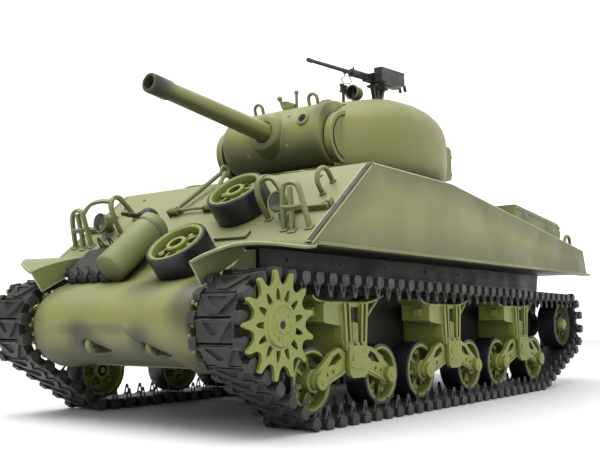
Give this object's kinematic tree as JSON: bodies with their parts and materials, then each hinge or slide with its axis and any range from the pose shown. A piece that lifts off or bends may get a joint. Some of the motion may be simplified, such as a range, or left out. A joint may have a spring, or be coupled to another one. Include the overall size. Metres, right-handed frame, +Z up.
{
  "type": "radio-controlled model tank",
  "caption": "Scale model of a medium tank with tracks, sprung bogies, a turning turret, an elevating gun and stowed gear on its sloped hull.",
  "frame": {"origin": "on the ground under the middle of the model, at the bottom centre of its bounding box", "axes": "+Z up; -Y towards the gun and the sloping front plate; +X towards the tank's own left side, the side nearer the camera"},
  "size_m": [0.164, 0.373, 0.1871],
  "materials": {
    "hull_paint": "satin olive green over moulded plastic, airbrushed dark along the edges",
    "barrel_paint": "satin olive green, sooty black at the muzzle",
    "running_gear_paint": "brighter yellow-green satin paint",
    "track_rubber": "dull black, slightly dusty",
    "gun_metal": "dark brown-black, faint sheen",
    "battery_wrap": "plain blue shrink wrap",
    "circuit_board": "green solder mask",
    "gearbox_metal": "bare die casting"
  },
  "bodies": {
    "hull": {"lower_hull": "hull_paint", "upper_hull": "hull_paint", "engine_deck": "hull_paint", "final_drive_cover": "hull_paint", "lamp_guard_left": "hull_paint", "lamp_guard_right": "hull_paint", "glacis_canister": "hull_paint", "spare_wheel_upper": "running_gear_paint", "spare_wheel_lower": "running_gear_paint", "spare_track_links": "track_rubber", "stowage_box": "hull_paint", "battery_pack": "battery_wrap", "control_board": "circuit_board", "drive_gearbox": "gearbox_metal", "track_left": "track_rubber", "track_right": "track_rubber", "bogie_bracket_L1": "running_gear_paint", "bogie_bracket_L2": "running_gear_paint", "bogie_bracket_L3": "running_gear_paint", "bogie_bracket_R1": "running_gear_paint", "bogie_bracket_R2": "running_gear_paint", "bogie_bracket_R3": "running_gear_paint"},
    "turret": {"turret_shell": "hull_paint"},
    "turret_hatch": {"turret_hatch": "hull_paint"},
    "gun_shield": {"gun_shield": "hull_paint"},
    "gun_barrel": {"gun_barrel": "barrel_paint"},
    "spotlight": {"spotlight": "hull_paint"},
    "mg_pintle": {"mg_pintle": "gun_metal"},
    "machine_gun": {"machine_gun": "gun_metal", "ammo_box": "gun_metal"},
    "bow_gun": {"bow_gun": "gun_metal"},
    "travel_lock": {"travel_lock": "hull_paint"},
    "sprocket_left": {"sprocket_left": "running_gear_paint"},
    "idler_left": {"idler_left": "running_gear_paint"},
    "swing_arm_L1": {"swing_arm_L1": "running_gear_paint"},
    "road_wheel_L1": {"road_wheel_L1": "running_gear_paint"},
    "swing_arm_L2": {"swing_arm_L2": "running_gear_paint"},
    "road_wheel_L2": {"road_wheel_L2": "running_gear_paint"},
    "swing_arm_L3": {"swing_arm_L3": "running_gear_paint"},
    "road_wheel_L3": {"road_wheel_L3": "running_gear_paint"},
    "swing_arm_L4": {"swing_arm_L4": "running_gear_paint"},
    "road_wheel_L4": {"road_wheel_L4": "running_gear_paint"},
    "swing_arm_L5": {"swing_arm_L5": "running_gear_paint"},
    "road_wheel_L5": {"road_wheel_L5": "running_gear_paint"},
    "swing_arm_L6": {"swing_arm_L6": "running_gear_paint"},
    "road_wheel_L6": {"road_wheel_L6": "running_gear_paint"},
    "sprocket_right": {"sprocket_right": "running_gear_paint"},
    "idler_right": {"idler_right": "running_gear_paint"},
    "swing_arm_R1": {"swing_arm_R1": "running_gear_paint"},
    "road_wheel_R1": {"road_wheel_R1": "running_gear_paint"},
    "swing_arm_R2": {"swing_arm_R2": "running_gear_paint"},
    "road_wheel_R2": {"road_wheel_R2": "running_gear_paint"},
    "swing_arm_R3": {"swing_arm_R3": "running_gear_paint"},
    "road_wheel_R3": {"road_wheel_R3": "running_gear_paint"},
    "swing_arm_R4": {"swing_arm_R4": "running_gear_paint"},
    "road_wheel_R4": {"road_wheel_R4": "running_gear_paint"},
    "swing_arm_R5": {"swing_arm_R5": "running_gear_paint"},
    "road_wheel_R5": {"road_wheel_R5": "running_gear_paint"},
    "swing_arm_R6": {"swing_arm_R6": "running_gear_paint"},
    "road_wheel_R6": {"road_wheel_R6": "running_gear_paint"}
  },
  "joints": [
    {"name": "turret_yaw", "type": "hinge", "parent": "hull", "child": "turret", "pos_m": [0, -0.01, 0.1172], "axis": [0, 0, 1], "range_deg": [-160, 160]},
    {"name": "gun_elevation", "type": "hinge", "parent": "turret", "child": "gun_shield", "pos_m": [0, -0.057, 0.1407], "axis": [-1, 0, 0], "range_deg": [-10, 14]},
    {"name": "gun_recoil", "type": "slide", "parent": "gun_shield", "child": "gun_barrel", "axis": [0, 0.9942, -0.108], "range_m": [0, 0.008], "stiffness_N_per_m": 60, "springref_m": -0.004},
    {"name": "turret_hatch_hinge", "type": "hinge", "parent": "turret", "child": "turret_hatch", "pos_m": [-0.0385, 0.002, 0.1692], "axis": [0, -1, 0], "range_deg": [0, 100]},
    {"name": "spotlight_yaw", "type": "hinge", "parent": "turret", "child": "spotlight", "pos_m": [0.0215, -0.0205, 0.1679], "axis": [0, 0, 1], "range_deg": [-90, 90]},
    {"name": "mg_yaw", "type": "hinge", "parent": "turret", "child": "mg_pintle", "pos_m": [0.03, -0.011, 0.167], "axis": [0, 0, 1], "range_deg": [-60, 60]},
    {"name": "mg_pitch", "type": "hinge", "parent": "mg_pintle", "child": "machine_gun", "pos_m": [0.03, -0.011, 0.181], "axis": [-1, 0, 0], "range_deg": [0, 18]},
    {"name": "bow_gun_swivel", "type": "hinge", "parent": "hull", "child": "bow_gun", "pos_m": [-0.036, -0.1235, 0.09591], "axis": [0, 0, 1], "range_deg": [-15, 15]},
    {"name": "travel_lock_hinge", "type": "hinge", "parent": "hull", "child": "travel_lock", "pos_m": [-0.008, -0.12134, 0.098], "axis": [1, 0, 0], "range_deg": [0, 30]},
    {"name": "sprocket_left_spin", "type": "hinge", "parent": "hull", "child": "sprocket_left", "pos_m": [0.0659, -0.1619, 0.0423], "axis": [1, 0, 0], "continuous": true},
    {"name": "idler_left_spin", "type": "hinge", "parent": "hull", "child": "idler_left", "pos_m": [0.0659, 0.1548, 0.0402], "axis": [1, 0, 0], "continuous": true},
    {"name": "swing_arm_L1_swing", "type": "hinge", "parent": "hull", "child": "swing_arm_L1", "pos_m": [0.0659, -0.10915, 0.0255], "axis": [-1, 0, 0], "range_deg": [0, 8], "stiffness_Nm_per_rad": 0.05},
    {"name": "road_wheel_L1_spin", "type": "hinge", "parent": "swing_arm_L1", "child": "road_wheel_L1", "pos_m": [0.0659, -0.1304, 0.0193], "axis": [1, 0, 0], "continuous": true},
    {"name": "swing_arm_L2_swing", "type": "hinge", "parent": "hull", "child": "swing_arm_L2", "pos_m": [0.0659, -0.09815, 0.0255], "axis": [1, 0, 0], "range_deg": [0, 8], "stiffness_Nm_per_rad": 0.05},
    {"name": "road_wheel_L2_spin", "type": "hinge", "parent": "swing_arm_L2", "child": "road_wheel_L2", "pos_m": [0.0659, -0.0769, 0.0193], "axis": [1, 0, 0], "continuous": true},
    {"name": "swing_arm_L3_swing", "type": "hinge", "parent": "hull", "child": "swing_arm_L3", "pos_m": [0.0659, -0.01915, 0.0255], "axis": [-1, 0, 0], "range_deg": [0, 8], "stiffness_Nm_per_rad": 0.05},
    {"name": "road_wheel_L3_spin", "type": "hinge", "parent": "swing_arm_L3", "child": "road_wheel_L3", "pos_m": [0.0659, -0.0404, 0.0193], "axis": [1, 0, 0], "continuous": true},
    {"name": "swing_arm_L4_swing", "type": "hinge", "parent": "hull", "child": "swing_arm_L4", "pos_m": [0.0659, -0.00815, 0.0255], "axis": [1, 0, 0], "range_deg": [0, 8], "stiffness_Nm_per_rad": 0.05},
    {"name": "road_wheel_L4_spin", "type": "hinge", "parent": "swing_arm_L4", "child": "road_wheel_L4", "pos_m": [0.0659, 0.0131, 0.0193], "axis": [1, 0, 0], "continuous": true},
    {"name": "swing_arm_L5_swing", "type": "hinge", "parent": "hull", "child": "swing_arm_L5", "pos_m": [0.0659, 0.07085, 0.0255], "axis": [-1, 0, 0], "range_deg": [0, 8], "stiffness_Nm_per_rad": 0.05},
    {"name": "road_wheel_L5_spin", "type": "hinge", "parent": "swing_arm_L5", "child": "road_wheel_L5", "pos_m": [0.0659, 0.0496, 0.0193], "axis": [1, 0, 0], "continuous": true},
    {"name": "swing_arm_L6_swing", "type": "hinge", "parent": "hull", "child": "swing_arm_L6", "pos_m": [0.0659, 0.08185, 0.0255], "axis": [1, 0, 0], "range_deg": [0, 8], "stiffness_Nm_per_rad": 0.05},
    {"name": "road_wheel_L6_spin", "type": "hinge", "parent": "swing_arm_L6", "child": "road_wheel_L6", "pos_m": [0.0659, 0.1031, 0.0193], "axis": [1, 0, 0], "continuous": true},
    {"name": "sprocket_right_spin", "type": "hinge", "parent": "hull", "child": "sprocket_right", "pos_m": [-0.0659, -0.1619, 0.0423], "axis": [1, 0, 0], "continuous": true},
    {"name": "idler_right_spin", "type": "hinge", "parent": "hull", "child": "idler_right", "pos_m": [-0.0659, 0.1548, 0.0402], "axis": [1, 0, 0], "continuous": true},
    {"name": "swing_arm_R1_swing", "type": "hinge", "parent": "hull", "child": "swing_arm_R1", "pos_m": [-0.0659, -0.10915, 0.0255], "axis": [-1, 0, 0], "range_deg": [0, 8], "stiffness_Nm_per_rad": 0.05},
    {"name": "road_wheel_R1_spin", "type": "hinge", "parent": "swing_arm_R1", "child": "road_wheel_R1", "pos_m": [-0.0659, -0.1304, 0.0193], "axis": [1, 0, 0], "continuous": true},
    {"name": "swing_arm_R2_swing", "type": "hinge", "parent": "hull", "child": "swing_arm_R2", "pos_m": [-0.0659, -0.09815, 0.0255], "axis": [1, 0, 0], "range_deg": [0, 8], "stiffness_Nm_per_rad": 0.05},
    {"name": "road_wheel_R2_spin", "type": "hinge", "parent": "swing_arm_R2", "child": "road_wheel_R2", "pos_m": [-0.0659, -0.0769, 0.0193], "axis": [1, 0, 0], "continuous": true},
    {"name": "swing_arm_R3_swing", "type": "hinge", "parent": "hull", "child": "swing_arm_R3", "pos_m": [-0.0659, -0.01915, 0.0255], "axis": [-1, 0, 0], "range_deg": [0, 8], "stiffness_Nm_per_rad": 0.05},
    {"name": "road_wheel_R3_spin", "type": "hinge", "parent": "swing_arm_R3", "child": "road_wheel_R3", "pos_m": [-0.0659, -0.0404, 0.0193], "axis": [1, 0, 0], "continuous": true},
    {"name": "swing_arm_R4_swing", "type": "hinge", "parent": "hull", "child": "swing_arm_R4", "pos_m": [-0.0659, -0.00815, 0.0255], "axis": [1, 0, 0], "range_deg": [0, 8], "stiffness_Nm_per_rad": 0.05},
    {"name": "road_wheel_R4_spin", "type": "hinge", "parent": "swing_arm_R4", "child": "road_wheel_R4", "pos_m": [-0.0659, 0.0131, 0.0193], "axis": [1, 0, 0], "continuous": true},
    {"name": "swing_arm_R5_swing", "type": "hinge", "parent": "hull", "child": "swing_arm_R5", "pos_m": [-0.0659, 0.07085, 0.0255], "axis": [-1, 0, 0], "range_deg": [0, 8], "stiffness_Nm_per_rad": 0.05},
    {"name": "road_wheel_R5_spin", "type": "hinge", "parent": "swing_arm_R5", "child": "road_wheel_R5", "pos_m": [-0.0659, 0.0496, 0.0193], "axis": [1, 0, 0], "continuous": true},
    {"name": "swing_arm_R6_swing", "type": "hinge", "parent": "hull", "child": "swing_arm_R6", "pos_m": [-0.0659, 0.08185, 0.0255], "axis": [1, 0, 0], "range_deg": [0, 8], "stiffness_Nm_per_rad": 0.05},
    {"name": "road_wheel_R6_spin", "type": "hinge", "parent": "swing_arm_R6", "child": "road_wheel_R6", "pos_m": [-0.0659, 0.1031, 0.0193], "axis": [1, 0, 0], "continuous": true}
  ],
  "couplings": [
    {"joint": "idler_left_spin", "follows": "sprocket_left_spin", "ratio": 1.0611},
    {"joint": "road_wheel_L1_spin", "follows": "sprocket_left_spin", "ratio": 1.3643},
    {"joint": "road_wheel_L2_spin", "follows": "sprocket_left_spin", "ratio": 1.3643},
    {"joint": "road_wheel_L3_spin", "follows": "sprocket_left_spin", "ratio": 1.3643},
    {"joint": "road_wheel_L4_spin", "follows": "sprocket_left_spin", "ratio": 1.3643},
    {"joint": "road_wheel_L5_spin", "follows": "sprocket_left_spin", "ratio": 1.3643},
    {"joint": "road_wheel_L6_spin", "follows": "sprocket_left_spin", "ratio": 1.3643},
    {"joint": "idler_right_spin", "follows": "sprocket_right_spin", "ratio": 1.0611},
    {"joint": "road_wheel_R1_spin", "follows": "sprocket_right_spin", "ratio": 1.3643},
    {"joint": "road_wheel_R2_spin", "follows": "sprocket_right_spin", "ratio": 1.3643},
    {"joint": "road_wheel_R3_spin", "follows": "sprocket_right_spin", "ratio": 1.3643},
    {"joint": "road_wheel_R4_spin", "follows": "sprocket_right_spin", "ratio": 1.3643},
    {"joint": "road_wheel_R5_spin", "follows": "sprocket_right_spin", "ratio": 1.3643},
    {"joint": "road_wheel_R6_spin", "follows": "sprocket_right_spin", "ratio": 1.3643}
  ]
}
